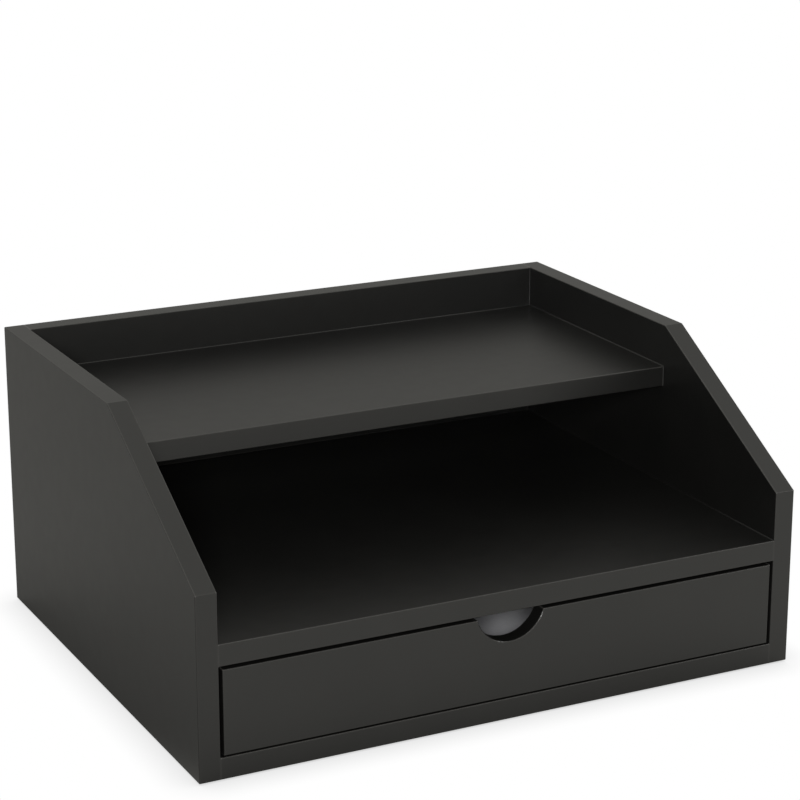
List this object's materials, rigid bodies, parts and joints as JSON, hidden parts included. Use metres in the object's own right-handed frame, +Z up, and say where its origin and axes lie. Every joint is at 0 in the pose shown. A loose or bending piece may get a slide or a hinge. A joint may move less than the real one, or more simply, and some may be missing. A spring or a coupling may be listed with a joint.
{
  "type": "desk organizer with drawer",
  "caption": "Two-tier desktop organizer: sloped sides, a rimmed upper shelf, an open letter compartment and a full-width shallow drawer with a half-round finger notch.",
  "frame": {"origin": "on the table top under the middle of the organizer, at the pads' lower faces", "axes": "+X to the right seen from the front, +Z up, and the open front and the drawer face -Y"},
  "size_m": [0.36, 0.29, 0.171],
  "materials": {
    "black_lacquer": "smooth satin black lacquer on MDF, eased arrises",
    "drawer_panel": "matt light grey laminate on thin hardboard",
    "beech": "bare beech",
    "foot_pad": "matt black foam rubber",
    "screw_steel": "bright zinc-plated"
  },
  "bodies": {
    "carcass": {"left_side_panel": "black_lacquer", "right_side_panel": "black_lacquer", "back_panel": "black_lacquer", "bottom_panel": "black_lacquer", "middle_shelf": "black_lacquer", "upper_shelf": "black_lacquer", "bottom_left_dowels": "beech", "bottom_right_dowels": "beech", "middle_left_dowels": "beech", "middle_right_dowels": "beech", "upper_left_dowels": "beech", "upper_right_dowels": "beech", "back_left_dowels": "beech", "back_right_dowels": "beech", "bottom_rear_dowels": "beech", "middle_rear_dowels": "beech", "upper_rear_dowels": "beech", "foot_pads": "foot_pad"},
    "drawer": {"drawer_front": "black_lacquer", "drawer_left_side": "black_lacquer", "drawer_right_side": "black_lacquer", "drawer_back": "black_lacquer", "drawer_bottom": "drawer_panel", "drawer_bottom_screws": "screw_steel", "drawer_front_left_dowels": "beech", "drawer_front_right_dowels": "beech", "drawer_back_left_dowels": "beech", "drawer_back_right_dowels": "beech"}
  },
  "joints": [
    {"name": "drawer_slide", "type": "slide", "parent": "carcass", "child": "drawer", "axis": [0, -1, 0], "range_m": [0, 0.2]}
  ]
}
